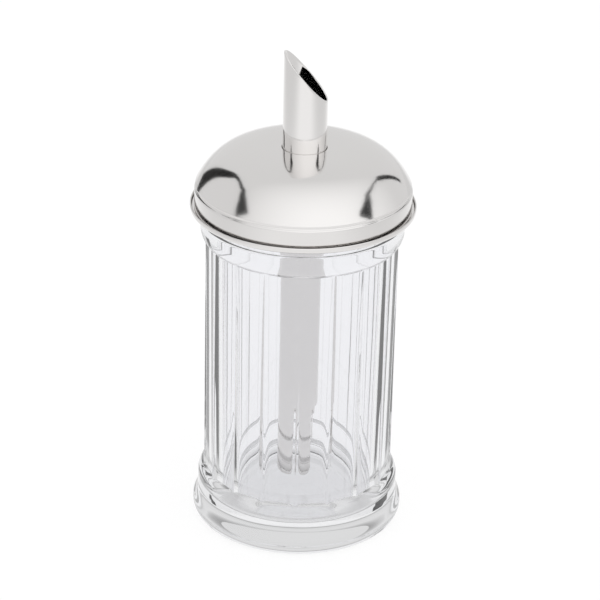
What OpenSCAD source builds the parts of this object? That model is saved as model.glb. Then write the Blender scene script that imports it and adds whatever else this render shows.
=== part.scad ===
/* [Jar] */
// Diameter of the glass body across the edges between its panels
body_d = 67.4; // [60:0.1:70]
// Number of flat panels round the body
panel_count = 18; // [14:1:22]
// Turn of the first panel edge away from the front, in degrees
panel_turn = -1; // [-10:1:10]
// Widest diameter of the bulged foot
foot_d = 74.6; // [72:0.1:76]
// Diameter of the ring that the foot stands on
stand_d = 67.2; // [64:0.1:69]
// Height of the widest point of the foot
foot_bulge_h = 4.5; // [3:0.1:6]
// Height of the waist between the foot and the collar ring
waist_z = 11.4; // [10:0.1:13]
// Diameter of the collar ring above the waist
collar_d = 71; // [69.6:0.1:72]
// Height of the straight side of the collar ring
collar_h = 4; // [3:0.1:6]
// Height of the rounded shoulder over the collar ring
collar_shoulder_h = 4.1; // [3:0.1:6]
// Height where the shoulder starts to widen into the neck ring
shoulder_z = 106.2; // [95:0.1:108]
// Height of the shoulder under the neck ring
shoulder_h = 5.2; // [4:0.1:9]
// Diameter of the plain glass ring under the lid
neck_ring_d = 70.6; // [70:0.1:72]
// Height of the plain glass ring
neck_ring_h = 3.6; // [2:0.1:5]
// Diameter of the glass neck under the threads
neck_d = 68.4; // [68:0.1:69]
// Height of the neck above the glass ring
neck_h = 9.3; // [8.6:0.1:12]
// Thickness of the glass at the rim
rim_w = 4.2; // [3.6:0.1:5.5]
// How much narrower the cavity's radius is at the floor than at the rim
bore_taper = 2; // [1:0.1:4]
// Thickness of the glass floor
floor_t = 9; // [7:0.1:12]
// Radius of the corner between the floor and the wall
floor_corner_r = 5; // [3:0.1:6]
// Depth of the hollow under the foot
punt_h = 1.2; // [0.6:0.1:2]
// Width of the ring that the foot stands on
stand_w = 2.2; // [1.5:0.1:4]

/* [Thread] */
// Number of interrupted threads round the neck
thread_count = 4; // [2:1:4]
// Length of each thread, in degrees round the neck
thread_span = 62; // [40:1:70]
// Slope of each thread, in degrees
thread_slope = 2; // [1:0.1:2.5]
// Radius of the rounded glass thread
thread_r = 0.9; // [0.7:0.05:1]
// Height of the middle of the glass threads above the glass ring
thread_z = 5.2; // [4.8:0.1:5.4]
// How far the threads stand in from the lid's wall
lid_thread_depth = 0.8; // [0.5:0.05:0.9]
// Gap between the threads of the lid and the glass
thread_gap = 0.3; // [0.3:0.05:0.6]

/* [Seal] */
// Thickness of the clear seal ring on the rim
seal_t = 1; // [0.8:0.1:1.5]
// How far the seal's hole stands back from the edge of the cavity
seal_inset = 1; // [0.5:0.1:1.5]
// Gap between the seal ring and the wall of the lid
seal_gap = 0.4; // [0.3:0.05:0.8]
// Gap between the seal ring and the flat faces that hold it
seal_seat_gap = 0.02; // [0.02:0.01:0.05]

/* [Lid] */
// Sheet thickness of the lid parts
sheet_t = 0.5; // [0.4:0.05:0.6]
// How far the turned up flange stands out past the skirt
flange_w = 1.5; // [1.2:0.1:2.5]
// Height of the flange's lowest point above the glass ring
flange_z = 2.9; // [2.5:0.1:3.5]
// Height of the turned up lip
lip_h = 2.1; // [1.6:0.1:2.6]
// Radius of the bend under the lip
lip_bend_r = 1; // [0.8:0.1:1.2]
// Radius of the bend at the top of the lid's inner wall
inner_bend_r = 1.6; // [1.2:0.1:2]
// Width of the inner flange that presses on the seal
press_w = 4; // [3.5:0.1:4.5]
// Height of the skirt
skirt_h = 7.1; // [5.6:0.1:7.4]
// Gap between the skirt and the flange under it
skirt_gap = 0.2; // [0.2:0.1:0.6]
// Gap between the skirt and the wall inside it
shell_gap = 0.3; // [0.05:0.05:0.4]
// Height of the crease between the skirt and the dome
crease_h = 1.4; // [1:0.1:2]
// How far the crease stands in from the skirt
crease_w = 0.35; // [0.2:0.05:0.6]
// Rise of the dome above the crease
dome_h = 13.6; // [11:0.1:16]
// Fullness of the dome, as the power of its curve
dome_power = 5.1; // [3:0.1:6]

/* [Pour tube] */
// Outer diameter of the tube
tube_d = 15.2; // [14:0.1:16]
// Wall of the tube
tube_wall = 0.5; // [0.4:0.05:0.6]
// Height of the tip of the tube above the table
tube_top_z = 175; // [165:1:185]
// Drop from the high side of the slanted mouth to its low side
mouth_drop = 17; // [12:0.5:20]
// Height of the tube's lower end above the jar's floor
tube_floor_gap = 8.5; // [6:0.5:14]
// Height of the notch in the side of the lower end
notch_h = 23.5; // [21:0.5:26]
// Depth of the notch, from the side of the tube to its cut edges
notch_w = 3.4; // [3:0.1:3.6]
// Gap between the tube and the hole in the dome
tube_hole_gap = 0.05; // [0.05:0.01:0.1]
// Width of the ring that holds the tube under the dome
ferrule_w = 4; // [3:0.1:5]
// Height of the ring's sleeve
ferrule_h = 6; // [4:0.1:8]

/* [Flap] */
// Length of the flap below its pin
flap_l = 12.5; // [10:0.5:14]
// Width of the tube's wall left beside the flap's window
window_rib = 0.48; // [0.4:0.02:0.8]
// Sheet thickness of the flap
flap_t = 0.5; // [0.4:0.05:0.6]
// Gap between the flap and the cut edges of the notch
flap_edge_gap = 0.3; // [0.3:0.05:0.5]
// Diameter of the hinge pin
pin_d = 1; // [0.9:0.05:1.1]
// How far each end of the hinge pin stands out of the tube
pin_end = 0.37; // [0.2:0.01:1]
// Running gap between the pin and the flap's knuckle
pin_gap = 0.06; // [0.04:0.01:0.08]
// Gap between the pin and the holes in the tube that it is fixed in
pin_fix_gap = 0.02; // [0.02:0.01:0.04]
// Wall of the flap's knuckle
knuckle_wall = 0.45; // [0.4:0.05:0.5]
// Gap between the flap and the sides of its window
window_gap = 0.3; // [0.3:0.05:0.4]

/* [Hidden] */
$fn = 96;

// Reach of a cut past the face that it opens
cut = 1;
// Steps of the smooth curves
bend_steps = 6;
dome_steps = 18;

glass_color = [0.86, 0.92, 0.93, 0.45];
seal_color = [0.9, 0.9, 0.88];
steel_color = [0.78, 0.77, 0.75];
dark_steel_color = [0.62, 0.61, 0.6];

body_r = body_d / 2;
foot_r = foot_d / 2;
stand_r = stand_d / 2;
collar_r = collar_d / 2;
neck_r = neck_d / 2;
neck_ring_r = neck_ring_d / 2;
// The apothem is the distance from the axis to the middle of a flat panel
panel_apothem = body_r * cos(180 / panel_count);
// The round core stays under the panels, and the panels cover it
core_r = panel_apothem - 0.6;
collar_top_z = waist_z + collar_h;
panel_low_z = waist_z;
neck_ring_z = shoulder_z + shoulder_h;
neck_z = neck_ring_z + neck_ring_h;
rim_z = neck_z + neck_h;
rim_round_r = 1;
rim_chamfer = 0.8;
bore_top_r = neck_r - rim_w;
bore_floor_r = bore_top_r - bore_taper;

seal_z = rim_z + seal_seat_gap;
press_z = seal_z + seal_t + seal_seat_gap;

// Glass threads stand out by half their round section
thread_crest_r = neck_r + thread_r;
lid_crest_r = thread_crest_r + thread_gap;
wall_in_r = lid_crest_r + lid_thread_depth;
wall_out_r = wall_in_r + sheet_t;
lid_low_z = neck_z + flange_z;
lid_wall_top_z = press_z + sheet_t;
skirt_in_r = wall_out_r + shell_gap;
skirt_out_r = skirt_in_r + sheet_t;
flange_r = skirt_out_r + flange_w;
skirt_z = lid_low_z + sheet_t + skirt_gap;
skirt_top_z = skirt_z + skirt_h;
dome_r = skirt_out_r - crease_w;
dome_z = skirt_top_z + crease_h;

tube_r = tube_d / 2;
tube_bore_r = tube_r - tube_wall;
tube_low_z = floor_t + tube_floor_gap;
mouth_slope = atan(mouth_drop / tube_d);
notch_z = tube_low_z + notch_h;
hole_r = tube_r + tube_hole_gap;
ferrule_r = hole_r + ferrule_w;
ferrule_wall = 0.9;
ferrule_top_z = dome_curve(ferrule_r) - sheet_t - 0.1;
ferrule_rim_t = 0.8;

notch_x = tube_r - notch_w;
knuckle_bore_r = pin_d / 2 + pin_gap;
knuckle_r = knuckle_bore_r + knuckle_wall;
pin_x = notch_x + flap_edge_gap + flap_t / 2;
pin_z = notch_z + 1.3;
window_w = 2 * (sqrt(pow(tube_bore_r, 2) - pow(pin_x, 2)) - window_rib);
// The flap and its pin are made to whole tenths of a millimetre
flap_w = round(10 * (window_w - 2 * window_gap)) / 10;
pin_l = round(20 * (sqrt(pow(tube_r, 2) - pow(pin_x, 2)) + pin_end)) / 10;
window_top_z = pin_z + knuckle_r + window_gap;

// Height of the dome's outer face at the radius r
function dome_curve(r) = dome_z + dome_h * (1 - pow(r / dome_r, dome_power));

// Points on a quarter or other stretch of an ellipse round [x, z]
function bend(x, z, rx, rz, from, to) =
    [for (i = [0:bend_steps]) let (a = from + (to - from) * i / bend_steps)
        [x + rx * cos(a), z + rz * sin(a)]];

// Points of the dome's curve from its foot to the radius low, lowered by drop
function dome_points(high, low, drop) =
    [for (i = [0:dome_steps]) let (r = high + (low - high) * sin(90 * i / dome_steps))
        [r, dome_curve(r) - drop]];

module turned(points) {
    rotate_extrude() polygon(points);
}

// A smooth S between two radii, as the foot narrows into its waist
function ease(r0, z0, r1, z1) =
    [for (i = [1:bend_steps]) let (t = i / bend_steps)
        [r0 + (r1 - r0) * (1 - cos(180 * t)) / 2, z0 + (z1 - z0) * t]];

// Foot, waist, collar ring and the core under the panels, to the shoulder and the neck
module jar_skin() {
    turned(concat(
        [[0, 0]],
        bend(stand_r, foot_bulge_h, foot_r - stand_r, foot_bulge_h, -90, 0),
        ease(foot_r, foot_bulge_h, collar_r, waist_z),
        bend(core_r, collar_top_z, collar_r - core_r, collar_shoulder_h, 0, 90),
        bend(core_r, neck_ring_z, neck_ring_r - core_r, shoulder_h, 270, 360),
        [[neck_ring_r, neck_z - 0.6], [neck_ring_r - 0.5, neck_z], [neck_r, neck_z]],
        bend(neck_r - rim_round_r, rim_z - rim_round_r, rim_round_r, rim_round_r, 0, 90),
        [[0, rim_z]]));
}

// The flat panels are the sides of one upright prism
module panels() {
    translate([0, 0, panel_low_z])
        linear_extrude(neck_ring_z - panel_low_z)
            polygon([for (i = [0:panel_count - 1])
                let (a = 360 * i / panel_count + panel_turn - 90)
                [body_r * cos(a), body_r * sin(a)]]);
}

// One thread is a stretch of a tilted ring, so it climbs round the neck
module thread(ring_r, section_r) {
    rotate([thread_slope, 0, 0])
        rotate([0, 0, -thread_span / 2])
            rotate_extrude(angle = thread_span)
                translate([ring_r, 0]) circle(r = section_r, $fn = 32);
}

module threads(z, ring_r, section_r, turn) {
    for (i = [0:thread_count - 1])
        translate([0, 0, z])
            rotate([0, 0, 360 * i / thread_count + turn])
                thread(ring_r, section_r);
}

module cavity() {
    turned(concat(
        [[0, floor_t]],
        bend(bore_floor_r - floor_corner_r, floor_t + floor_corner_r,
            floor_corner_r, floor_corner_r, -90, 0),
        [[bore_top_r, rim_z - rim_w / 2], [bore_top_r + rim_chamfer, rim_z],
            [bore_top_r + rim_chamfer, rim_z + cut], [0, rim_z + cut]]));
}

module punt() {
    punt_r = stand_r - stand_w;
    turned([[0, -cut], [punt_r, -cut], [punt_r, 0], [punt_r - 2, punt_h], [0, punt_h]]);
}

module jar() {
    color(glass_color)
        difference() {
            union() {
                jar_skin();
                panels();
                threads(neck_z + thread_z, neck_r, thread_r, 0);
            }
            cavity();
            punt();
        }
}

module seal_ring() {
    color(seal_color)
        translate([0, 0, seal_z])
            difference() {
                cylinder(r = wall_in_r - lid_thread_depth - seal_gap, h = seal_t);
                translate([0, 0, -cut])
                    cylinder(r = bore_top_r + seal_inset, h = seal_t + 2 * cut);
            }
}

// Sheet of the collar, from its lip round the bend and up its wall to the inner flange
module collar_sheet() {
    outer_bend = lip_bend_r;
    inner_bend = lip_bend_r - sheet_t;
    lip_x = flange_r - lip_bend_r;
    bend_z = lid_low_z + lip_bend_r;
    lip_top_z = lid_low_z + lip_h;
    top_x = wall_out_r - inner_bend_r;
    top_z = lid_wall_top_z - inner_bend_r;
    press_r = wall_out_r - inner_bend_r - press_w;
    turned(concat(
        [[wall_in_r, lid_low_z]],
        bend(lip_x, bend_z, outer_bend, outer_bend, -90, 0),
        bend(flange_r - sheet_t / 2, lip_top_z, sheet_t / 2, sheet_t / 2, 0, 180),
        bend(lip_x, bend_z, inner_bend, inner_bend, 0, -90),
        [[wall_out_r, lid_low_z + sheet_t]],
        bend(top_x, top_z, inner_bend_r, inner_bend_r, 0, 90),
        [[press_r, lid_wall_top_z], [press_r, press_z]],
        bend(top_x, top_z, inner_bend_r - sheet_t, inner_bend_r - sheet_t, 90, 0)));
}

// The collar's threads are rolled beads that stand inwards, cut off outside its wall
module threaded_collar() {
    bead_r = lid_thread_depth + sheet_t / 2;
    color(steel_color)
        union() {
            collar_sheet();
            intersection() {
                threads(neck_z + thread_z, wall_in_r + sheet_t / 2, bead_r, 180 / thread_count);
                cylinder(r = wall_in_r + sheet_t / 2, h = rim_z);
            }
        }
}

module dome_cover() {
    inner_crease_r = dome_r - sheet_t;
    color(steel_color)
        turned(concat(
            [[skirt_in_r, skirt_z], [skirt_out_r, skirt_z], [skirt_out_r, skirt_top_z]],
            dome_points(dome_r, hole_r, 0),
            [for (p = dome_points(hole_r, inner_crease_r, 0))
                [p[0], dome_curve(p[0] + sheet_t * (p[0] - hole_r) / (dome_r - hole_r)) - sheet_t]],
            [[skirt_in_r, skirt_top_z]]));
}

module mouth_cut() {
    translate([tube_r, 0, tube_top_z - mouth_drop])
        rotate([0, mouth_slope, 0])
            translate([-3 * tube_d, -tube_d, 0])
                cube([4 * tube_d, 2 * tube_d, 2 * tube_d]);
}

module pour_tube() {
    color(steel_color)
        difference() {
            translate([0, 0, tube_low_z])
                cylinder(r = tube_r, h = tube_top_z - tube_low_z);
            translate([0, 0, tube_low_z - cut])
                cylinder(r = tube_bore_r, h = tube_top_z - tube_low_z + 2 * cut);
            mouth_cut();
            translate([notch_x, -tube_d, tube_low_z - cut])
                cube([tube_d, 2 * tube_d, notch_h + cut]);
            translate([notch_x - knuckle_r - window_gap, -window_w / 2, notch_z - cut])
                cube([tube_d, window_w, window_top_z - notch_z + cut]);
            translate([pin_x, tube_d, pin_z])
                rotate([90, 0, 0])
                    cylinder(r = pin_d / 2 + pin_fix_gap, h = 2 * tube_d);
        }
}

module tube_ferrule() {
    sleeve_r = hole_r + ferrule_wall;
    color(dark_steel_color)
        turned([
            [hole_r, ferrule_top_z - ferrule_h], [sleeve_r, ferrule_top_z - ferrule_h],
            [sleeve_r, ferrule_top_z - ferrule_rim_t], [ferrule_r, ferrule_top_z - ferrule_rim_t],
            [ferrule_r, ferrule_top_z], [hole_r, ferrule_top_z]]);
}

module dosing_flap() {
    color(steel_color)
        translate([pin_x, 0, pin_z])
            difference() {
                union() {
                    translate([0, flap_w / 2, 0])
                        rotate([90, 0, 0])
                            cylinder(r = knuckle_r, h = flap_w);
                    translate([-flap_t / 2, -flap_w / 2, -flap_l])
                        cube([flap_t, flap_w, flap_l]);
                }
                translate([0, flap_w, 0])
                    rotate([90, 0, 0])
                        cylinder(r = knuckle_bore_r, h = 2 * flap_w);
            }
}

module flap_pin() {
    color(dark_steel_color)
        translate([pin_x, pin_l / 2, pin_z])
            rotate([90, 0, 0])
                cylinder(d = pin_d, h = pin_l);
}

jar();
seal_ring();
threaded_collar();
dome_cover();
pour_tube();
tube_ferrule();
dosing_flap();
flap_pin();
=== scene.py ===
# %% [markdown]
# A glass sugar dispenser with a polished steel screw lid.
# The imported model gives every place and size. This lesson gives each piece its real surface:
# clear pressed glass for the jar, and mirror polished sheet steel for the lid and the pour tube.

# %% Load the fixed frame
import math

import bpy
import numpy as np
from mathutils import Matrix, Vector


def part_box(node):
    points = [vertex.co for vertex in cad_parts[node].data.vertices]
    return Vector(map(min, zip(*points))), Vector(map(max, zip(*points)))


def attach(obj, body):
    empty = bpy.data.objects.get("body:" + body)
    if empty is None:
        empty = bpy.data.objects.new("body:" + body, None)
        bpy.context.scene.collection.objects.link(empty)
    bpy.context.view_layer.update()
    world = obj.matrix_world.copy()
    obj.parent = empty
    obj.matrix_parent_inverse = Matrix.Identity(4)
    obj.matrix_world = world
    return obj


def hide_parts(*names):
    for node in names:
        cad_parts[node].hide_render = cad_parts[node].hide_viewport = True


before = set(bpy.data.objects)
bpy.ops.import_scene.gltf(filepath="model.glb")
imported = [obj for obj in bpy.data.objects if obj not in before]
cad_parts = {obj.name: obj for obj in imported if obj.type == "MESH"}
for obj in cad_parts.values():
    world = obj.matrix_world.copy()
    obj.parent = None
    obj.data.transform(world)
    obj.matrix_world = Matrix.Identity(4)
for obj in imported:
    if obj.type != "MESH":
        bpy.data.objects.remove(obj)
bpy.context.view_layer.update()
MM = 0.001

# %% [markdown]
# Every height and radius that the pieces share is read from the frame's boxes, so that a piece always
# lies where its solid lies. The few sizes that a box can't show, such as the depth of a bend, are named
# here in metres.

# %% Heights and radii, read from the solids
_, jar_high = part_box("jar")
lid_low, lid_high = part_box("threaded_collar")
dome_low, dome_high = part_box("dome_cover")
tube_low, tube_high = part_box("pour_tube")
seal_low, seal_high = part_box("seal_ring")
ferrule_low, ferrule_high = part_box("tube_ferrule")
flap_low, flap_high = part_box("dosing_flap")
pin_low, pin_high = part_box("flap_pin")

FOOT_R = jar_high.x
RIM_Z = jar_high.z
FLANGE_R = lid_high.x
LID_LOW_Z = lid_low.z
LID_TOP_Z = lid_high.z
SKIRT_R = dome_high.x
SKIRT_Z = dome_low.z
DOME_TOP_Z = dome_high.z
TUBE_R = tube_high.x
TUBE_LOW_Z = tube_low.z
TUBE_TOP_Z = tube_high.z
SHEET = 0.5 * MM
print("rim", round(RIM_Z, 4), "dome top", round(DOME_TOP_Z, 4), "tube top", round(TUBE_TOP_Z, 4))

# %% [markdown]
# The camera was fitted to the outlines of the lid, the body and the foot. It looks down by about
# 26 degrees from 0.99 m away, through a long lens, and leans by a little more than one degree.

# %% Camera
LOOK_DOWN = math.radians(25.744)
LOOK_AT_Z = 82.48 * MM
DISTANCE = 986.6 * MM
LEAN = math.radians(1.352)
FOCAL_PIXELS = 2821.2
PICTURE_PIXELS = 600
SENSOR = 36.0
SHIFT_PIXELS = 0.95

camera_data = bpy.data.cameras.new("camera")
camera_data.sensor_width = SENSOR
camera_data.lens = SENSOR * FOCAL_PIXELS / PICTURE_PIXELS
camera_data.shift_x = -SHIFT_PIXELS / PICTURE_PIXELS
camera = bpy.data.objects.new("camera", camera_data)
bpy.context.scene.collection.objects.link(camera)
eye = (0, -DISTANCE * math.cos(LOOK_DOWN), LOOK_AT_Z + DISTANCE * math.sin(LOOK_DOWN))
camera.matrix_world = (
    Matrix.Translation(eye)
    @ Matrix.Rotation(math.pi / 2 - LOOK_DOWN, 4, "X")
    @ Matrix.Rotation(LEAN, 4, "Z")
)
bpy.context.scene.camera = camera
print("camera lens", round(camera_data.lens, 1), "mm")

# %% [markdown]
# A surface is a grid of points. One side of the grid follows an outline, and the other runs round the
# axis. The faces come from whole arrays of indices. A row that has shrunk to the axis becomes one point
# with a fan of triangles, so that poles are closed. The volume of the closed shape is measured, and if
# it is negative the faces point inwards and are turned.

# %% From a grid of points to a mesh
def signed_volume(points, quads, fans):
    """A sixth of the sum of the triple products of each triangle's corners."""
    triangles = np.concatenate([quads[:, [0, 1, 2]], quads[:, [0, 2, 3]], fans])
    a, b, c = (points[triangles[:, i]] for i in range(3))
    return float(np.einsum("ij,ij->i", a, np.cross(b, c)).sum() / 6)


def finish_mesh(name, points, quads, fans):
    """Makes an object from points and faces, with its faces turned outwards and shaded smoothly."""
    if signed_volume(points, quads, fans) < 0:
        quads, fans = quads[:, ::-1], fans[:, ::-1]
    mesh = bpy.data.meshes.new(name)
    mesh.from_pydata(points.tolist(), [], quads.tolist() + fans.tolist())
    mesh.polygons.foreach_set("use_smooth", np.ones(len(mesh.polygons), bool))
    mesh.update()
    piece = bpy.data.objects.new(name, mesh)
    bpy.context.scene.collection.objects.link(piece)
    return piece


def grid_faces(rows, columns, wrap_rows, wrap_columns):
    """Four corner indices of each face of a grid; a wrapped side joins its last line to its first."""
    r = np.arange(rows if wrap_rows else rows - 1)
    c = np.arange(columns if wrap_columns else columns - 1)
    r, c = np.meshgrid(r, c, indexing="ij")
    r2, c2 = (r + 1) % rows, (c + 1) % columns
    corners = [r * columns + c, r * columns + c2, r2 * columns + c2, r2 * columns + c]
    return np.stack(corners, -1).reshape(-1, 4)


def ring_surface(name, grid, closed_outline):
    """A surface round an axis from a grid of points [outline, turn, xyz].
    A closed outline joins its end to its start. An open one starts and ends on the axis."""
    rows, columns = grid.shape[:2]
    points = grid.reshape(-1, 3)
    if closed_outline:
        quads = grid_faces(rows, columns, True, True)
        fans = np.zeros((0, 3), int)
    else:
        quads = grid_faces(rows, columns, False, True)
        poles = np.array([grid[0].mean(0), grid[-1].mean(0)])
        here = np.arange(columns)
        after = (here + 1) % columns
        first, last = len(points), len(points) + 1
        last_row = (rows - 1) * columns
        low = np.stack([np.full(columns, first), after, here], -1)
        high = np.stack([np.full(columns, last), last_row + here, last_row + after], -1)
        fans = np.concatenate([low, high])
        points = np.concatenate([points, poles])
    piece = finish_mesh(name, points, quads, fans)
    print(name, "points", len(points), "faces", len(quads) + len(fans))
    return piece


def turn_round(outline, angles):
    """Each outline point [radius, height] carried round the Z axis through the angles."""
    radius, height = outline[:, :1], outline[:, 1:]
    return np.stack(
        [radius * np.cos(angles), radius * np.sin(angles), height + 0 * angles[None, :]], -1
    )


# %% [markdown]
# Outlines are drawn as a draughtsman does it, with straight runs and bends. Every run is cut into short
# steps, so that a mirror finish shows no corners that the real metal lacks.

# %% Outline helpers
FEWEST_STEPS = 8
SAME_POINT = 1e-8
SAME_PLACE = 1e-7


def bend(x, z, rx, rz, start, end, steps=12):
    """Points on a stretch of an ellipse round (x, z), from one angle to another in degrees."""
    a = np.radians(np.linspace(start, end, steps + 1))
    return np.stack([x + rx * np.cos(a), z + rz * np.sin(a)], -1)


def run(x0, z0, x1, z1, steps):
    """Points on a straight run, without its end."""
    t = np.arange(steps)[:, None] / steps
    return np.array([[x0, z0]]) * (1 - t) + np.array([[x1, z1]]) * t


def ease(x0, z0, x1, z1, steps=24):
    """A smooth S from one radius to another: half a cosine wave, without its end."""
    t = np.arange(steps)[:, None] / steps
    x = x0 + (x1 - x0) * (1 - np.cos(np.pi * t)) / 2
    return np.concatenate([x, z0 + (z1 - z0) * t], 1)


def evenly(outline, step, closed):
    """The same line with a point about every step, so that long runs get points too."""
    path = np.concatenate([outline, outline[:1]]) if closed else outline
    length = np.linalg.norm(np.diff(path, axis=0), axis=1)
    keep = np.concatenate([[True], length > SAME_POINT])
    path = path[keep]
    along = np.concatenate([[0], np.cumsum(np.linalg.norm(np.diff(path, axis=0), axis=1))])
    count = max(FEWEST_STEPS, int(round(along[-1] / step)))
    places = np.union1d(np.linspace(0, along[-1], count + 1), along)
    places = places[np.concatenate([[True], np.diff(places) > SAME_PLACE])]
    line = np.stack([np.interp(places, along, path[:, i]) for i in range(2)], -1)
    return line[:-1] if closed else line


ROUND = np.linspace(0, 2 * np.pi, 256, endpoint=False)
print("a full turn has", len(ROUND), "steps")

# %% [markdown]
# The jar is pressed glass. A mould shapes its outside: a bulged foot, a waist, a collar ring, eighteen
# flat panels, and a plain ring under the lid. A plunger shapes its inside, which is smooth and widens
# a little towards the mouth. It could be turned as a round solid and cut with planes, but then its
# edges would be knife sharp. Here its radius is a formula instead: each panel is a plane, and a soft
# rounded ridge stands between two panels. The ridges grow towards the foot, as the photograph shows.

# %% Jar sizes
BODY_R = 33.7 * MM
PANELS = 18
PANEL_TURN = math.radians(-1)
STAND_R = 33.6 * MM
FOOT_BULGE_Z = 4.5 * MM
WAIST_Z = 11.4 * MM
COLLAR_R = 35.5 * MM
COLLAR_TOP_Z = 15.4 * MM
COLLAR_SHOULDER = 4.1 * MM
NECK_RING_R = 35.3 * MM
NECK_RING_Z = 111.4 * MM
NECK_SHOULDER = 5.2 * MM
NECK_Z = 115 * MM
NECK_R = 34.2 * MM
NECK_CORNER = 0.6 * MM
BORE_TOP_R = 30 * MM
BORE_FLOOR_R = 28 * MM
FLOOR_Z = 9 * MM
FLOOR_CORNER = 5 * MM
PUNT_R = 31.4 * MM
PUNT_H = 1.2 * MM
PUNT_Z = 0.1 * MM
STAND_LIFT = 0.05 * MM
FLOOR_END_R = 0.5 * MM
RIM_ROUND = 1 * MM
THREADS = 4
THREAD_SPAN = math.radians(62)
THREAD_SLOPE = math.tan(math.radians(2))
THREAD_LIFT = 5.2 * MM
THREAD_Z = NECK_Z + THREAD_LIFT
THREAD_R = 0.9 * MM
THREAD_FLANK = 1.25
THREAD_ROUNDING = 0.75
THREAD_FADE = 0.12
APOTHEM = BODY_R * math.cos(math.pi / PANELS)
CORE_DEPTH = 1.2 * MM
CORE_R = APOTHEM - CORE_DEPTH
PANEL_OVERRUN = 2 * MM
PANEL_STEPS = 16
PANEL_CROWDING = 1.45
RIDGE_LOW = 0.45 * MM
RIDGE_HIGH = 0.12 * MM
RIDGE_HALF_W = 0.95 * MM
COVE_SOFTNESS = 0.08 * MM
print("panels", PANELS, "apothem", round(APOTHEM, 5))


# %% Jar outline and its formula
def jar_outline():
    """The jar's outline as a turned shape in two parts: out under the foot and up the outside, and
    then down the inside."""
    rim_x = NECK_R - RIM_ROUND
    outer = np.concatenate([
        bend(0, PUNT_Z, PUNT_R, PUNT_H, 89, 8, 26),
        bend(STAND_R, FOOT_BULGE_Z, FOOT_R - STAND_R, FOOT_BULGE_Z - STAND_LIFT, -90, 0, 20),
        ease(FOOT_R, FOOT_BULGE_Z, COLLAR_R, WAIST_Z, 24),
        run(COLLAR_R, WAIST_Z, COLLAR_R, COLLAR_TOP_Z, 8),
        bend(CORE_R, COLLAR_TOP_Z, COLLAR_R - CORE_R, COLLAR_SHOULDER, 0, 90, 30),
        run(CORE_R, COLLAR_TOP_Z + COLLAR_SHOULDER, CORE_R, NECK_RING_Z - NECK_SHOULDER, 24)[1:],
        bend(CORE_R, NECK_RING_Z, NECK_RING_R - CORE_R, NECK_SHOULDER, 270, 360, 30),
        run(NECK_RING_R, NECK_RING_Z, NECK_RING_R, NECK_Z - NECK_CORNER, 10)[1:],
        bend(NECK_RING_R - NECK_CORNER, NECK_Z - NECK_CORNER, NECK_CORNER, NECK_CORNER, 0, 90, 6),
        run(NECK_R, NECK_Z, NECK_R, RIM_Z - RIM_ROUND, 40),
        bend(rim_x, RIM_Z - RIM_ROUND, RIM_ROUND, RIM_ROUND, 0, 90, 8),
    ])
    rim_in = BORE_TOP_R + RIM_ROUND
    inner = np.concatenate([
        bend(rim_in, RIM_Z - RIM_ROUND, RIM_ROUND, RIM_ROUND, 90, 180, 8),
        run(BORE_TOP_R, RIM_Z - RIM_ROUND, BORE_FLOOR_R, FLOOR_Z + FLOOR_CORNER, 44)[1:],
        bend(BORE_FLOOR_R - FLOOR_CORNER, FLOOR_Z + FLOOR_CORNER, FLOOR_CORNER, FLOOR_CORNER, 0, -90, 14),
        run(BORE_FLOOR_R - FLOOR_CORNER, FLOOR_Z, FLOOR_END_R, FLOOR_Z, 14)[1:],
    ])
    return outer, inner


def panel_angles():
    """Angles round the jar. Within each panel they run as one less a power of the distance from the
    edge, which draws them together near the edges, where the surface turns."""
    u = np.linspace(-1, 1, PANEL_STEPS + 1)[:-1]
    u = np.sign(u) * (1 - (1 - np.abs(u)) ** PANEL_CROWDING)
    half = np.pi / PANELS
    centres = PANEL_TURN - np.pi / 2 + half + 2 * half * np.arange(PANELS)
    return (centres[:, None] + half * u[None, :]).reshape(-1)


def soft_most(a, b, softness):
    """The larger of two arrays, with a fillet where they meet: the logarithm of the sum of their
    exponentials, each over the softness."""
    return softness * np.logaddexp(a / softness, b / softness)


def panel_radius(angle, height):
    """Distance from the axis to the panels: a plane's distance is its apothem over the cosine of the
    angle from its middle. A bell-shaped ridge is added at each edge, and the plane lies deeper by the
    ridge's height, so that the ridges keep the diameter."""
    half = np.pi / PANELS
    local = np.mod(angle - PANEL_TURN + np.pi / 2, 2 * half) - half
    down = np.clip((NECK_RING_Z - height) / (NECK_RING_Z - COLLAR_TOP_Z), 0, 1)
    ridge = RIDGE_HIGH + (RIDGE_LOW - RIDGE_HIGH) * down
    from_edge = (half - np.abs(local)) * BODY_R
    bell = np.exp(-(from_edge / RIDGE_HALF_W) ** 2)
    return (APOTHEM - ridge) / np.cos(local) + ridge * bell


def thread_rise(angle, height):
    """How far the four threads stand out: a half round ridge that climbs with the angle and fades
    away at both of its ends."""
    step = 2 * np.pi / THREADS
    local = np.mod(angle + step / 2, step) - step / 2
    middle = THREAD_Z + NECK_R * THREAD_SLOPE * local
    across = np.clip(1 - ((height - middle) / (THREAD_FLANK * THREAD_R)) ** 2, 0, 1)
    ends = np.clip((THREAD_SPAN / 2 - np.abs(local)) / (THREAD_SPAN * THREAD_FADE), 0, 1)
    return THREAD_R * across ** THREAD_ROUNDING * ends * ends * (3 - 2 * ends)


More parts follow.
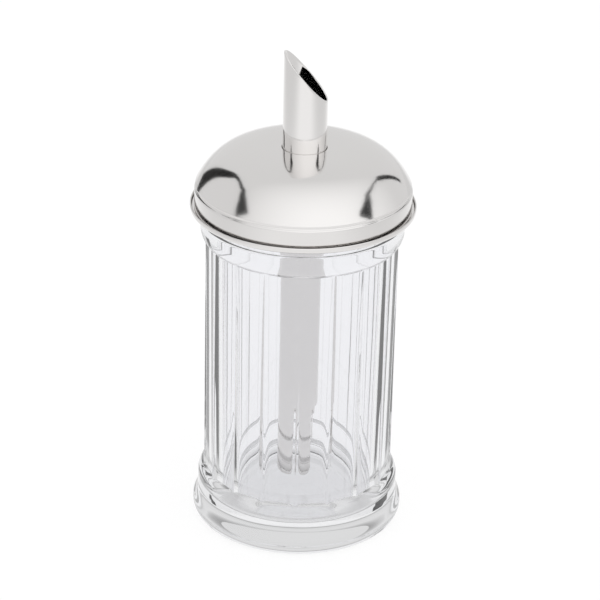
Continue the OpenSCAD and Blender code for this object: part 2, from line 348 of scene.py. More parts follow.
def make_jar():
    """The whole glass skin, outside and inside, as one closed surface."""
    outer, inner = jar_outline()
    angles = panel_angles()
    a = angles[None, :]
    radius, height = outer[:, :1] + 0 * a, outer[:, 1:] + 0 * a
    panelled = (height > WAIST_Z) & (height < NECK_RING_Z + PANEL_OVERRUN) & (radius > PUNT_R)
    radius = np.where(panelled, soft_most(radius, panel_radius(a, height), COVE_SOFTNESS), radius)
    on_neck = (height > NECK_Z) & (height < RIM_Z - RIM_ROUND)
    radius = radius + np.where(on_neck, thread_rise(a, height), 0)
    outside = np.stack([radius * np.cos(a), radius * np.sin(a), height], -1)
    grid = np.concatenate([outside, turn_round(inner, angles)])
    return ring_surface("glass_jar", grid, closed_outline=False)


jar = make_jar()

# %% [markdown]
# The lid is two pressed sheets. The inner one, the collar, carries the threads and turns up into the
# bright lip that runs round the lid. The outer one is the dome with its skirt. Each is one closed
# outline carried round the axis. The threads are rolled, so both sides of the sheet follow them.

# %% Threaded collar
LIP_R = 1 * MM
LIP_H = 2.1 * MM
WALL_OUT_R = 36.7 * MM
WALL_IN_R = WALL_OUT_R - SHEET
INNER_BEND = 1.6 * MM
PRESS_W = 4 * MM
LID_THREAD = 0.7 * MM
COLLAR_STEP = 0.35 * MM
NEAR_WALL = 0.6 * MM


def make_collar():
    """Sheet collar: lip, bend, wall with rolled threads, and the inner flange on the seal."""
    lip_x, bend_z = FLANGE_R - LIP_R, LID_LOW_Z + LIP_R
    tip_x, tip_z = FLANGE_R - SHEET / 2, LID_LOW_Z + LIP_H
    top_x, top_z = WALL_OUT_R - INNER_BEND, LID_TOP_Z - INNER_BEND
    press_x = WALL_OUT_R - INNER_BEND - PRESS_W
    foot = 0.3 * MM
    outline = np.concatenate([
        bend(WALL_IN_R + foot, LID_LOW_Z + foot, foot, foot, 180, 270, 4),
        bend(lip_x, bend_z, LIP_R, LIP_R, -90, 0, 10),
        bend(tip_x, tip_z - SHEET / 2, SHEET / 2, SHEET / 2, 0, 180, 10),
        bend(lip_x, bend_z, LIP_R - SHEET, LIP_R - SHEET, 0, -90, 8),
        run(WALL_OUT_R, LID_LOW_Z + SHEET, WALL_OUT_R, top_z, 24),
        bend(top_x, top_z, INNER_BEND, INNER_BEND, 0, 90, 10),
        bend(press_x + SHEET / 2, LID_TOP_Z - SHEET / 2, SHEET / 2, SHEET / 2, 90, 270, 8),
        bend(top_x, top_z, INNER_BEND - SHEET, INNER_BEND - SHEET, 90, 0, 10),
        run(WALL_IN_R, top_z, WALL_IN_R, LID_LOW_Z + 2 * foot, 24)[1:],
    ])
    outline = evenly(outline, COLLAR_STEP, closed=True)
    grid = turn_round(outline, ROUND)
    turn = np.pi / THREADS
    on_wall = (np.abs(outline[:, 0] - WALL_IN_R) < NEAR_WALL) & (outline[:, 1] < top_z)
    inward = thread_rise(ROUND[None, :] + turn, grid[..., 2]) * LID_THREAD / THREAD_R
    inward = np.where(on_wall[:, None], inward, 0)
    radius = np.hypot(grid[..., 0], grid[..., 1])
    grid[..., :2] *= ((radius - inward) / radius)[..., None]
    return ring_surface("collar_sheet", grid, closed_outline=True)


collar = make_collar()

# %% Dome cover
SKIRT_H = 7.1 * MM
CREASE_H = 1.4 * MM
CREASE_W = 0.35 * MM
DOME_POWER = 5.1
HOLE_GAP = 0.12 * MM
HOLE_R = TUBE_R + HOLE_GAP
HOLE_LEDGE = 0.5 * MM
HOLE_BEND_W = 0.42 * MM
HOLE_BEND_H = 0.4 * MM
HOLE_WALL_FROM = 0.5 * MM
HOLE_WALL_TO = 1.1 * MM
HOLE_TIP_R = 0.2 * MM
CORNER_W = 0.55 * MM
CORNER_H = 0.62 * MM
CORNER_DROP = 0.5 * MM
CREASE_IN = 0.18 * MM
CREASE_UP = 0.55 * MM
CREASE_BEND_W = 0.42 * MM
CREASE_BEND_H = 0.5 * MM
UNDER_CLEAR = 0.02 * MM
INSIDE_TOP_DROP = 0.2 * MM
INSIDE_LOW_RISE = 0.3 * MM
DOME_R = SKIRT_R - CREASE_W
SKIRT_TOP_Z = SKIRT_Z + SKIRT_H
DOME_Z = SKIRT_TOP_Z + CREASE_H
DOME_H = DOME_TOP_Z - DOME_Z


def dome_height(radius):
    """The dome falls from its top by its height times a power of the radius, so it is nearly flat
    in the middle and steep at its edge."""
    return DOME_Z + DOME_H * (1 - (radius / DOME_R) ** DOME_POWER)


def make_dome():
    """Sheet dome: skirt, crease, dome and a small rolled edge at the hole for the tube."""
    spread = np.sin(np.linspace(np.pi / 2, math.asin((HOLE_R + HOLE_LEDGE) / DOME_R), 120))
    high = DOME_R * spread
    over = np.stack([high, dome_height(high)], -1)
    slope = np.gradient(over[:, 1], over[:, 0])
    normal = np.stack([-slope, np.ones_like(slope)], -1)
    normal /= np.linalg.norm(normal, axis=1, keepdims=True)
    under = (over - SHEET * normal)[::-1]
    under = under[under[:, 0] < SKIRT_R - SHEET - UNDER_CLEAR]
    hole_z = over[-1, 1]
    corner_z, tip_z = SKIRT_TOP_Z - CORNER_DROP, hole_z - HOLE_WALL_TO
    edge, inside = SHEET / 2, SKIRT_R - SHEET
    outline = np.concatenate([
        bend(SKIRT_R - edge, SKIRT_Z + edge, edge, edge, 180, 360, 8),
        run(SKIRT_R, SKIRT_Z + edge, SKIRT_R, corner_z, 24)[1:],
        bend(SKIRT_R - CORNER_W, corner_z, CORNER_W, CORNER_H, 0, 62, 8),
        bend(DOME_R + CREASE_IN, SKIRT_TOP_Z + CREASE_UP, CREASE_BEND_W, CREASE_BEND_H, 235, 150, 8),
        over,
        bend(HOLE_R + HOLE_BEND_W, hole_z - HOLE_BEND_H, HOLE_BEND_W, HOLE_BEND_H, 90, 180, 8),
        run(HOLE_R, hole_z - HOLE_WALL_FROM, HOLE_R, tip_z, 3),
        bend(HOLE_R + HOLE_TIP_R, tip_z, HOLE_TIP_R, HOLE_TIP_R, 180, 360, 6),
        under,
        run(inside, SKIRT_TOP_Z - INSIDE_TOP_DROP, inside, SKIRT_Z + INSIDE_LOW_RISE, 20),
    ])
    grid = turn_round(outline, ROUND)
    return ring_surface("dome_sheet", grid, closed_outline=True)


dome = make_dome()

# %% Seal ring and ferrule
RING_STEP = 0.4 * MM
SEAL_INSET = 1 * MM
SLEEVE_WALL = 0.95 * MM
SLEEVE_GAP = 0.05 * MM
FERRULE_RIM = 0.8 * MM
FERRULE_CHAMFER = 0.15 * MM
FERRULE_FILLET = 0.5 * MM


def make_seal():
    """A soft ring with rounded edges, squeezed between the glass rim and the lid."""
    inner, outer = BORE_TOP_R + SEAL_INSET, seal_high.x
    half = (seal_high.z - seal_low.z) / 2
    middle = seal_low.z + half
    outline = np.concatenate([
        bend(outer - half, middle, half, half, -90, 90, 12),
        bend(inner + half, middle, half, half, 90, 270, 12),
    ])
    return ring_surface("seal", turn_round(evenly(outline, RING_STEP, True), ROUND), True)


def make_ferrule():
    """A turned ring: a sleeve on the tube and a rim under the dome, with filleted corners."""
    sleeve = TUBE_R + SLEEVE_WALL
    inner, rim_t = TUBE_R + SLEEVE_GAP, FERRULE_RIM
    low, high, rim_r = ferrule_low.z, ferrule_high.z, ferrule_high.x
    chamfer, fillet = FERRULE_CHAMFER, FERRULE_FILLET
    outline = np.concatenate([
        np.array([[inner, low + chamfer], [inner + chamfer, low], [sleeve - chamfer, low]]),
        np.array([[sleeve, low + chamfer]]),
        bend(sleeve + fillet, high - rim_t - fillet, fillet, fillet, 180, 90, 8),
        bend(rim_r - rim_t / 2, high - rim_t / 2, rim_t / 2, rim_t / 2, -90, 90, 8),
        np.array([[inner + chamfer, high], [inner, high - chamfer]]),
    ])
    return ring_surface("ferrule", turn_round(evenly(outline, RING_STEP, True), ROUND[::2]), True)


seal = make_seal()
ferrule = make_ferrule()

# %% [markdown]
# The pour tube is a plain steel tube, cut slanted at the top and stepped at its lower end. A tube with
# cuts isn't a turned shape, so only its outer skin is drawn, as a grid round the tube. The top row
# follows the slanted plane, the faces in the step and in the flap's window are left out, and Solidify
# gives the sheet its wall, rims and all. A narrow Bevel then breaks the cut edges.

# %% Pour tube
TUBE_WALL = 0.5 * MM
MOUTH_DROP = 17 * MM
NOTCH_X = 4.2 * MM
NOTCH_H = 23.5 * MM
NOTCH_Z = TUBE_LOW_Z + NOTCH_H
WINDOW_HALF = 4.8 * MM
WINDOW_GAP = 0.3 * MM
WINDOW_TOP_Z = flap_high.z + WINDOW_GAP
TONGUE_CORNER = 3 * MM
TUBE_EDGE = 0.1 * MM
SHARP_ANGLE = math.radians(50)
STEP_ROWS = 24
WINDOW_ROWS = 6
A_HAIR = 1e-4


def add_thickness(piece, thickness, edge, offset):
    """Solidify gives the sheet its wall, and Bevel breaks its sharp edges."""
    solid = piece.modifiers.new("wall", "SOLIDIFY")
    solid.thickness = thickness
    solid.offset = offset
    solid.use_even_offset = True
    bevel = piece.modifiers.new("edge", "BEVEL")
    bevel.width = edge
    bevel.segments = 2
    bevel.limit_method = "ANGLE"
    bevel.angle_limit = SHARP_ANGLE
    return piece


def sheet_piece(name, grid, faces):
    """A sheet from a grid of points and chosen faces, without the points that no face uses."""
    points = grid.reshape(-1, 3)
    used, index = np.unique(faces, return_inverse=True)
    mesh = bpy.data.meshes.new(name)
    mesh.from_pydata(points[used].tolist(), [], index.reshape(-1, 4).tolist())
    mesh.polygons.foreach_set("use_smooth", np.ones(len(mesh.polygons), bool))
    mesh.update()
    piece = bpy.data.objects.new(name, mesh)
    bpy.context.scene.collection.objects.link(piece)
    print(name, "points", len(used), "faces", len(faces))
    return piece


def make_tube():
    """Outer skin of the tube as rows [height] by columns [angle], with the step cut away."""
    notch = math.acos(NOTCH_X / TUBE_R)
    window = math.asin(WINDOW_HALF / TUBE_R)
    stretches = [(0, window, 14), (window, notch, 8), (notch, 2 * np.pi - notch, 96)]
    stretches += [(2 * np.pi - notch, 2 * np.pi - window, 8), (2 * np.pi - window, 2 * np.pi, 14)]
    angles = np.concatenate([np.linspace(a, b, n, endpoint=False) for a, b, n in stretches])
    from_cut = np.abs(np.mod(angles + np.pi, 2 * np.pi) - np.pi) - notch
    corner = np.clip(1 - from_cut * TUBE_R / TONGUE_CORNER, 0, 1)
    low = TUBE_LOW_Z + TONGUE_CORNER * (1 - np.sqrt(1 - corner ** 2))
    mouth = TUBE_TOP_Z - MOUTH_DROP / 2 - np.cos(angles) * MOUTH_DROP / 2
    notch_z, window_z = NOTCH_Z + 0 * low, WINDOW_TOP_Z + 0 * low
    levels = [(low, notch_z, STEP_ROWS), (notch_z, window_z, WINDOW_ROWS)]
    levels += [(window_z, mouth, 110)]
    heights = [a + (b - a) * np.arange(n)[:, None] / n for a, b, n in levels] + [mouth[None, :]]
    heights = np.concatenate(heights)
    x, y = TUBE_R * np.cos(angles) + 0 * heights, TUBE_R * np.sin(angles) + 0 * heights
    grid = np.stack([x, y, heights], -1)
    rows, columns = heights.shape
    faces = grid_faces(rows, columns, False, True)
    row, column = faces[:, 0] // columns, faces[:, 0] % columns
    middle = angles[column] + A_HAIR
    near = np.minimum(middle, 2 * np.pi - middle)
    in_step = (row < STEP_ROWS) & (near < notch)
    in_window = (row < STEP_ROWS + WINDOW_ROWS) & (near < window)
    piece = sheet_piece("pour_tube_sheet", grid, faces[~(in_step | in_window)])
    return add_thickness(piece, TUBE_WALL, TUBE_EDGE, -1)


tube = make_tube()

# %% [markdown]
# The dosing flap is one strip of sheet. Its top is rolled round the hinge pin, and the rest hangs
# straight down, with its lower corners rounded. The strip's middle line is a path, and its width is a
# function of the distance along it.

# %% Dosing flap and its pin
FLAP_T = 0.45 * MM
PIN_X = (pin_low.x + pin_high.x) / 2
PIN_Z = (pin_low.z + pin_high.z) / 2
PIN_R = (pin_high.x - pin_low.x) / 2
PIN_PLAY = 0.06 * MM
ROLL_R = PIN_R + PIN_PLAY + FLAP_T / 2
ROLL_POINTS = 36
NECK_STEPS = 8
HANG_FROM = -2.1 * ROLL_R
FLAP_CORNER = 2 * MM
FLAP_EDGE = 0.06 * MM
PIN_DOME = 0.3 * MM


def make_flap():
    """A strip along a path in the XZ plane: most of a circle round the pin, then straight down."""
    half_w = (flap_high.y - flap_low.y) / 2
    length = PIN_Z - flap_low.z
    a = np.radians(np.linspace(-50, 245, ROLL_POINTS))
    roll = np.stack([ROLL_R * np.cos(a), ROLL_R * np.sin(a)], -1)
    neck = ease(roll[-1, 0], roll[-1, 1] - 0.1 * MM, 0, HANG_FROM, NECK_STEPS)
    z = np.linspace(HANG_FROM, -length, 40)
    hang = np.stack([0 * z, z], -1)
    path = np.concatenate([roll, neck, hang])
    to_end = length + path[:, 1]
    hanging = np.arange(len(path)) > ROLL_POINTS + NECK_STEPS
    corner = np.where(hanging, np.clip(1 - to_end / FLAP_CORNER, 0, 1), 0)
    width = half_w - FLAP_CORNER * (1 - np.sqrt(1 - corner ** 2))
    across = np.linspace(-1, 1, 15)[None, :] * width[:, None]
    x = PIN_X + path[:, :1] + 0 * across
    z = PIN_Z + path[:, 1:] + 0 * across
    grid = np.stack([x, across, z], -1)
    piece = sheet_piece("flap_sheet", grid, grid_faces(*across.shape, False, False))
    return add_thickness(piece, FLAP_T, FLAP_EDGE, 0)


def make_pin():
    """A turned pin along Y, its ends slightly domed."""
    half = (pin_high.y - pin_low.y) / 2
    end = bend(0, half - PIN_DOME, PIN_R, PIN_DOME, 90, 0, 8)[1:]
    outline = np.concatenate([end, (end * [1, -1])[::-1]])
    grid = turn_round(evenly(outline, RING_STEP, False), ROUND[::8])
    grid = np.stack([PIN_X + grid[..., 0], grid[..., 2], PIN_Z + grid[..., 1]], -1)
    return ring_surface("hinge_pin", grid, closed_outline=False)


flap = make_flap()
pin = make_pin()


# %% [markdown]
# Clear pressed glass is not perfect. It has a faint cool tint, and its surface waves a little, which
# bends the reflections. Steel that was polished in a lathe has a warm grey colour, a fine grain round
# its axis, and small differences in gloss. Both come from noise on Object coordinates, which keep their
# place on the piece from every side.

# %% Material helpers
NOISE_LOW = 0.3
NOISE_HIGH = 0.7


def new_material(name):
    """A material with its Principled shader, and a quick way to add linked nodes."""
    material = bpy.data.materials.new(name)
    material.use_nodes = True
    nodes = material.node_tree.nodes
    return material, nodes, material.node_tree.links, nodes["Principled BSDF"]


def object_noise(nodes, links, stretch, scale, detail=3.0):
    """Noise on Object coordinates, stretched through a Mapping node."""
    place = nodes.new("ShaderNodeTexCoord")
    mapping = nodes.new("ShaderNodeMapping")
    mapping.inputs["Scale"].default_value = stretch
    noise = nodes.new("ShaderNodeTexNoise")
    noise.inputs["Scale"].default_value = scale
    noise.inputs["Detail"].default_value = detail
    links.new(place.outputs["Object"], mapping.inputs["Vector"])
    links.new(mapping.outputs["Vector"], noise.inputs["Vector"])
    return noise


def link_range(nodes, links, source, target, low, high):
    """The source's values, spread from low to high, into the target socket. Noise seldom leaves the
    middle of its range, so the spread starts and ends there."""
    spread = nodes.new("ShaderNodeMapRange")
    spread.inputs["From Min"].default_value = NOISE_LOW
    spread.inputs["From Max"].default_value = NOISE_HIGH
    spread.inputs["To Min"].default_value = low
    spread.inputs["To Max"].default_value = high
    links.new(source, spread.inputs["Value"])
    links.new(spread.outputs["Result"], target)


def link_bump(nodes, links, source, shader, strength, distance):
    """Fine relief from the source's values."""
    bump = nodes.new("ShaderNodeBump")
    bump.inputs["Strength"].default_value = strength
    bump.inputs["Distance"].default_value = distance
    links.new(source, bump.inputs["Height"])
    links.new(bump.outputs["Normal"], shader.inputs["Normal"])


def stepped_values(nodes, links, source, reach, steps):
    """A ramp through chosen values: each step pairs a length with the value that holds there."""
    share = nodes.new("ShaderNodeMath")
    share.operation = "DIVIDE"
    share.inputs[1].default_value = reach
    links.new(source, share.inputs[0])
    ramp = nodes.new("ShaderNodeValToRGB")
    stops = ramp.color_ramp.elements
    stops[0].position, stops[1].position = steps[0][0] / reach, steps[-1][0] / reach
    for length, _ in steps[1:-1]:
        stops.new(length / reach)
    for stop, (_, value) in zip(stops, steps):
        stop.color = (value, value, value, 1)
    links.new(share.outputs[0], ramp.inputs["Fac"])
    return ramp.outputs["Color"]


# %% Clear pressed glass
GLASS_TINT = (0.972, 0.974, 0.99)
GLASS_BENDING = 1.5
WAVE_STRETCH = (1, 1, 0.35)
WAVES_PER_METRE = 70
WAVE_GLOSS = (0.0, 0.015)
WAVE_STRENGTH = 0.25
WAVE_DEPTH = 0.4 * MM
LOST_AFTER = 2.5
# Painted light and shade: where rays are lost in the glass it glows, pale in the thick base and darker
# higher in the wall.
# Each step pairs a height with the grey there. The greys were set to match the photograph.
GLASS_GLOW_TOP_Z = 40 * MM
GLASS_PAINTED_GLOW = [(1 * MM, 0.38), (4.5 * MM, 0.66), (12 * MM, 0.72), (20 * MM, 0.17)]


def lost_light(nodes, links, shader):
    """A ray that has been mirrored inside the glass several times would be cut off and turn black.
    Real glass lets it out somewhere, so here it ends in a painted glow instead: pale painted light in the
    thick base, which gathers light from the table, and darker painted shade in the edges of the wall."""
    path = nodes.new("ShaderNodeLightPath")
    late = nodes.new("ShaderNodeMath")
    late.operation = "GREATER_THAN"
    late.inputs[1].default_value = LOST_AFTER
    links.new(path.outputs["Glossy Depth"], late.inputs[0])
    place = nodes.new("ShaderNodeTexCoord")
    apart = nodes.new("ShaderNodeSeparateXYZ")
    links.new(place.outputs["Object"], apart.inputs[0])
    glow = nodes.new("ShaderNodeEmission")
    grey = stepped_values(nodes, links, apart.outputs["Z"], GLASS_GLOW_TOP_Z, GLASS_PAINTED_GLOW)
    links.new(grey, glow.inputs["Strength"])
    mix = nodes.new("ShaderNodeMixShader")
    links.new(late.outputs[0], mix.inputs["Fac"])
    links.new(shader.outputs[0], mix.inputs[1])
    links.new(glow.outputs[0], mix.inputs[2])
    links.new(mix.outputs[0], nodes["Material Output"].inputs["Surface"])


def glass_material():
    """Clear glass with a faint cool tint. One long wave of noise sets its gloss and its relief."""
    material, nodes, links, shader = new_material("pressed_glass")
    shader.inputs["Base Color"].default_value = (*GLASS_TINT, 1)
    shader.inputs["Transmission Weight"].default_value = 1
    shader.inputs["IOR"].default_value = GLASS_BENDING
    lost_light(nodes, links, shader)
    waves = object_noise(nodes, links, WAVE_STRETCH, WAVES_PER_METRE, 1.0)
    link_range(nodes, links, waves.outputs["Fac"], shader.inputs["Roughness"], *WAVE_GLOSS)
    link_bump(nodes, links, waves.outputs["Fac"], shader, WAVE_STRENGTH, WAVE_DEPTH)
    return material


# %% Polished steel, plain steel and the clear seal
CLOUDS_PER_METRE = 60
GRAIN_STRETCH = (1, 1, 40)
GRAINS_PER_METRE = 90
GRAIN_DEPTH = 0.04 * MM
SEAL_TINT = (0.86, 0.87, 0.85)
SEAL_CLEARNESS = 0.6
SEAL_BENDING = 1.41
SEAL_CLOUDS_PER_METRE = 220
SEAL_GLOSS = (0.3, 0.5)
SEAL_STRENGTH = 0.2
SEAL_DEPTH = 0.1 * MM


def steel_material(name, colour, smooth, rough, grain_strength):
    """Steel of one colour. Soft clouds of noise set its gloss between smooth and rough, and noise
    that is pressed flat along Z gives the fine grain round its axis."""
    material, nodes, links, shader = new_material(name)
    shader.inputs["Base Color"].default_value = (*colour, 1)
    shader.inputs["Metallic"].default_value = 1
    cloud = object_noise(nodes, links, (1, 1, 1), CLOUDS_PER_METRE, 2.0)
    link_range(nodes, links, cloud.outputs["Fac"], shader.inputs["Roughness"], smooth, rough)
    grain = object_noise(nodes, links, GRAIN_STRETCH, GRAINS_PER_METRE, 4.0)
    link_bump(nodes, links, grain.outputs["Fac"], shader, grain_strength, GRAIN_DEPTH)
    return material


def painted_shade_below(material, steps):
    """Painted shade: darkens the metal's colour low down, where it stands inside the glass jar."""
    nodes, links = material.node_tree.nodes, material.node_tree.links
    shader = nodes["Principled BSDF"]
    place = nodes.new("ShaderNodeTexCoord")
    apart = nodes.new("ShaderNodeSeparateXYZ")
    links.new(place.outputs["Object"], apart.inputs[0])
    share = stepped_values(nodes, links, apart.outputs["Z"], TUBE_TOP_Z, steps)
    tint = nodes.new("ShaderNodeMix")
    tint.data_type = "RGBA"
    tint.blend_type = "MULTIPLY"
    tint.inputs["Factor"].default_value = 1
    tint.inputs["A"].default_value = shader.inputs["Base Color"].default_value
    links.new(share, tint.inputs["B"])
    links.new(tint.outputs["Result"], shader.inputs["Base Color"])


def seal_material():
    """Soft clear plastic: half see-through, and dull in small clouds of noise."""
    material, nodes, links, shader = new_material("clear_seal")
    shader.inputs["Base Color"].default_value = (*SEAL_TINT, 1)
    shader.inputs["Transmission Weight"].default_value = SEAL_CLEARNESS
    shader.inputs["IOR"].default_value = SEAL_BENDING
    cloud = object_noise(nodes, links, (1, 1, 1), SEAL_CLOUDS_PER_METRE, 2.0)
    link_range(nodes, links, cloud.outputs["Fac"], shader.inputs["Roughness"], *SEAL_GLOSS)
    link_bump(nodes, links, cloud.outputs["Fac"], shader, SEAL_STRENGTH, SEAL_DEPTH)
    return material


POLISHED_STEEL = (0.79, 0.775, 0.765)
BRIGHT_STEEL = (0.85, 0.835, 0.825)
# Painted shade: the pour tube's colour is darker low down, inside the jar.
IN_JAR_PAINTED_SHADE = [(112 * MM, 0.86), (136 * MM, 1.0)]
PLAIN_STEEL = (0.60, 0.585, 0.57)
glass = glass_material()
polished = steel_material("polished_steel", POLISHED_STEEL, 0.10, 0.15, 0.08)
bright = steel_material("bright_steel", BRIGHT_STEEL, 0.05, 0.09, 0.05)
painted_shade_below(bright, IN_JAR_PAINTED_SHADE)
satin = steel_material("satin_steel", PLAIN_STEEL, 0.22, 0.34, 0.35)
clear_seal = seal_material()
print("finishes:", [finish.name for finish in (glass, polished, bright, satin, clear_seal)])

# %% [markdown]
# Each piece now takes its finish, rides on the body that it moves with, and stands for its solid.

# %% Dress the pieces
def dress(piece, material, body, node):
    """Gives the piece its material, slot and body, and hides the solid that it stands for."""
    piece.data.materials.append(material)
    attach(piece, body)
    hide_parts(node)


dress(jar, glass, "jar", "jar")
dress(seal, clear_seal, "seal", "seal_ring")
dress(collar, polished, "lid", "threaded_collar")
dress(dome, polished, "lid", "dome_cover")
dress(tube, bright, "lid", "pour_tube")
dress(ferrule, satin, "lid", "tube_ferrule")
dress(pin, satin, "lid", "flap_pin")
dress(flap, polished, "flap", "dosing_flap")
print("dressed:", [piece.name for piece in (jar, seal, collar, dome, tube, ferrule, pin, flap)])

# %% [markdown]
# Polished metal shows the room, so the room is part of the look. The picture seems to have been taken in
# a white tent: soft white above, a grey back, and narrow dark gaps where its side panels would meet. The
# dome mirrors two such dark bows, left and right. Here the tent is the world's light, and each gap is a
# thin black strip that hangs far from the object, outside the picture.

# %% Floor and world
FLOOR_SIZE = 6.0
WHITE = 1.0
CAMERA_WHITE = 1.06
FLOOR_GLOW = 0.85
FLOOR_MIRRORED = 1.0
# Painted shade: mirrors see the floor darker towards its left and right ends, down to this strength.
FLOOR_SIDES_PAINTED_SHADE = 0.72
# Painted shadow: seen through the glass, the floor under the jar is darker, most of all round the stand
# ring.
# Each step pairs a distance from the axis with what glass shows of the floor there.
CONTACT_SHADOW_REACH = 50 * MM
PAINTED_CONTACT_SHADOW = [(29 * MM, 0.78), (31 * MM, 0.62), (36 * MM, 0.66), (42 * MM, 0.94)]
SIDES_FROM = 0.14
SIDES_TO = 0.42
BACK_LIGHT = 0.8
FRONT_LIGHT = 1.18
BRIGHT_SIDE = (0.35, -0.86, 0.37)
BRIGHTEST_AT = 0.95
PAPER = 0.9


def seen_directly(nodes, links):
    """One where a camera, mirror or see-through ray looks, and zero for the light itself."""
    path = nodes.new("ShaderNodeLightPath")
    first = nodes.new("ShaderNodeMath")
    first.operation = "MAXIMUM"
    links.new(path.outputs["Is Camera Ray"], first.inputs[0])
    links.new(path.outputs["Is Transmission Ray"], first.inputs[1])
    second = nodes.new("ShaderNodeMath")
    second.operation = "MAXIMUM"
    links.new(first.outputs[0], second.inputs[0])
    links.new(path.outputs["Is Glossy Ray"], second.inputs[1])
    return second.outputs[0], path


def choose_by(nodes, links, switch, otherwise, value):
    """The value, a number or a socket, where the switch is one, and the other socket's number
    where it is zero."""
    choose = nodes.new("ShaderNodeMix")
    choose.data_type = "FLOAT"
    links.new(switch, choose.inputs[0])
    links.new(otherwise, choose.inputs[2])
    if isinstance(value, float):
        choose.inputs[3].default_value = value
    else:
        links.new(value, choose.inputs[3])
    return choose.outputs[0]


def floor_material():
    """White paper: it glows white where it is looked at, and still shows a faint shadow.
    What metal and glass mirror of it has painted shade towards the left and right ends of the tent, and
    what is seen through the glass has a painted shadow round the jar's foot."""
    material, nodes, links, shader = new_material("floor_paper")
    shader.inputs["Base Color"].default_value = (PAPER, PAPER, PAPER, 1)
    shader.inputs["Roughness"].default_value = 0.9
    glow = nodes.new("ShaderNodeEmission")
    looked_at, path = seen_directly(nodes, links)
    place = nodes.new("ShaderNodeTexCoord")
    apart = nodes.new("ShaderNodeSeparateXYZ")
    links.new(place.outputs["Object"], apart.inputs[0])
    across = nodes.new("ShaderNodeMath")
    across.operation = "ABSOLUTE"
    links.new(apart.outputs["X"], across.inputs[0])
    # Painted shade: what mirrors see of the floor darkens towards its left and right ends.
    painted_side_shade = nodes.new("ShaderNodeMapRange")
    painted_side_shade.interpolation_type = "SMOOTHSTEP"
    painted_side_shade.inputs["From Min"].default_value = SIDES_FROM
    painted_side_shade.inputs["From Max"].default_value = SIDES_TO
    painted_side_shade.inputs["To Min"].default_value = FLOOR_MIRRORED
    painted_side_shade.inputs["To Max"].default_value = FLOOR_SIDES_PAINTED_SHADE
    links.new(across.outputs[0], painted_side_shade.inputs["Value"])
    from_axis = nodes.new("ShaderNodeVectorMath")
    from_axis.operation = "LENGTH"
    links.new(place.outputs["Object"], from_axis.inputs[0])
    # Painted shadow: through the glass the floor is darker round the jar's stand ring.
    under = stepped_values(nodes, links, from_axis.outputs["Value"], CONTACT_SHADOW_REACH, PAINTED_CONTACT_SHADOW)
    mirrored, in_glass = painted_side_shade.outputs["Result"], path.outputs["Is Transmission Ray"]
    through = choose_by(nodes, links, in_glass, mirrored, under)
    seen = choose_by(nodes, links, path.outputs["Is Camera Ray"], through, CAMERA_WHITE)
    links.new(seen, glow.inputs["Strength"])
    share = nodes.new("ShaderNodeMath")
    share.operation = "MULTIPLY"
    share.inputs[1].default_value = FLOOR_GLOW
    links.new(looked_at, share.inputs[0])
    mix = nodes.new("ShaderNodeMixShader")
    links.new(share.outputs[0], mix.inputs["Fac"])
    links.new(shader.outputs[0], mix.inputs[1])
    links.new(glow.outputs[0], mix.inputs[2])
    links.new(mix.outputs[0], nodes["Material Output"].inputs["Surface"])
    return material


def make_floor():
    """One square of paper, level with the foot. It belongs to the stage and not to the part."""
    half = FLOOR_SIZE / 2
    mesh = bpy.data.meshes.new("floor")
    corners = [(-half, -half, 0), (half, -half, 0), (half, half, 0), (-half, half, 0)]
    mesh.from_pydata(corners, [], [(0, 1, 2, 3)])
    floor = bpy.data.objects.new("floor", mesh)
    bpy.context.scene.collection.objects.link(floor)
    mesh.materials.append(floor_material())


def make_world():
    """White for the camera, and for all else a soft sky that is brighter towards the front."""
    world = bpy.data.worlds.new("tent")
    world.use_nodes = True
    bpy.context.scene.world = world
    nodes, links = world.node_tree.nodes, world.node_tree.links
    place = nodes.new("ShaderNodeTexCoord")
    facing = nodes.new("ShaderNodeVectorMath")
    facing.operation = "DOT_PRODUCT"
    facing.inputs[1].default_value = BRIGHT_SIDE
    links.new(place.outputs["Generated"], facing.inputs[0])
    ramp = nodes.new("ShaderNodeMapRange")
    ramp.inputs["From Min"].default_value = 0.0
    ramp.inputs["From Max"].default_value = BRIGHTEST_AT
    ramp.inputs["To Min"].default_value = BACK_LIGHT
    ramp.inputs["To Max"].default_value = FRONT_LIGHT
    links.new(facing.outputs["Value"], ramp.inputs["Value"])
    path = nodes.new("ShaderNodeLightPath")
    seen = choose_by(nodes, links, path.outputs["Is Camera Ray"], ramp.outputs["Result"], WHITE)
    background = nodes["Background"]
    background.inputs["Color"].default_value = (1, 1, 1, 1)
    links.new(seen, background.inputs["Strength"])


make_floor()
make_world()
print("floor", FLOOR_SIZE, "m wide, light from", BACK_LIGHT, "at the back to", FRONT_LIGHT, "in front")


# %% Dark gaps of the tent
GAP_DISTANCE = 0.95
GAP_STEPS = 8
GAP_GREY = 0.012


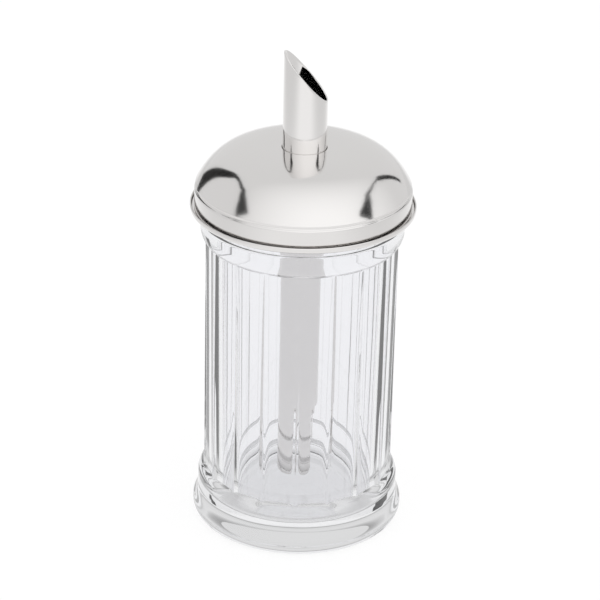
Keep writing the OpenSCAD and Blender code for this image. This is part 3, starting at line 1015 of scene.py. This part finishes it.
def gap_strip(name, spine):
    """A ribbon of black on a sphere round the object. Each spine point is an azimuth from the back
    towards the right, an elevation and a width, all in degrees."""
    spine = np.array(spine, float)
    t = np.linspace(0, len(spine) - 1, GAP_STEPS * (len(spine) - 1) + 1)
    azimuth, elevation, width = (np.interp(t, np.arange(len(spine)), spine[:, i]) for i in range(3))
    a, e = np.radians(azimuth), np.radians(elevation)
    line = np.stack([np.cos(e) * np.sin(a), np.cos(e) * np.cos(a), np.sin(e)], -1)
    along = np.gradient(line, axis=0)
    side = np.cross(line, along)
    side /= np.linalg.norm(side, axis=1, keepdims=True)
    half = np.tan(np.radians(width / 2))[:, None]
    grid = np.stack([line - side * half, line + side * half], 1) * GAP_DISTANCE
    grid[..., 2] += LOOK_AT_Z
    piece = sheet_piece(name, grid, grid_faces(*grid.shape[:2], False, False))
    piece.data.materials.append(gap_black)


def black_material():
    """Black in mirrors and glass, and clear where a camera looks, so that no view meets a strip."""
    material, nodes, links, shader = new_material("tent_gap")
    shader.inputs["Base Color"].default_value = (GAP_GREY, GAP_GREY, GAP_GREY, 1)
    shader.inputs["Roughness"].default_value = 1
    path = nodes.new("ShaderNodeLightPath")
    clear = nodes.new("ShaderNodeBsdfTransparent")
    mix = nodes.new("ShaderNodeMixShader")
    links.new(path.outputs["Is Camera Ray"], mix.inputs["Fac"])
    links.new(shader.outputs[0], mix.inputs[1])
    links.new(clear.outputs[0], mix.inputs[2])
    links.new(mix.outputs[0], nodes["Material Output"].inputs["Surface"])
    return material


gap_black = black_material()
LEFT_BACK = [(-38, -2, 12), (-42, 8, 12), (-47, 24, 11), (-52, 38, 10), (-54, 44, 6)]
LEFT_TOP = [(-54, 44, 4), (-68, 47, 3), (-87, 46, 4), (-101, 38, 8), (-108, 31, 12), (-112, 27, 13)]
RIGHT_BACK = [(42, 8, 2), (46, 20, 4), (50, 32, 6), (53, 38, 7)]
RIGHT_TOP = [(53, 38, 2), (66, 42, 2), (86, 42, 4), (100, 34, 9), (107, 29, 13), (110, 26, 14)]
gap_strip("gap_left_back", LEFT_BACK)
gap_strip("gap_left_top", LEFT_TOP)
gap_strip("gap_right_back", RIGHT_BACK)
gap_strip("gap_right_top", RIGHT_TOP)
print("dark gaps: 4 strips at", GAP_DISTANCE, "m")

# %% [markdown]
# The last cell updates the scene and sets the Standard view transform.

# %% View transform, and the end
bpy.context.view_layer.update()

bpy.context.scene.view_settings.view_transform = "Standard"
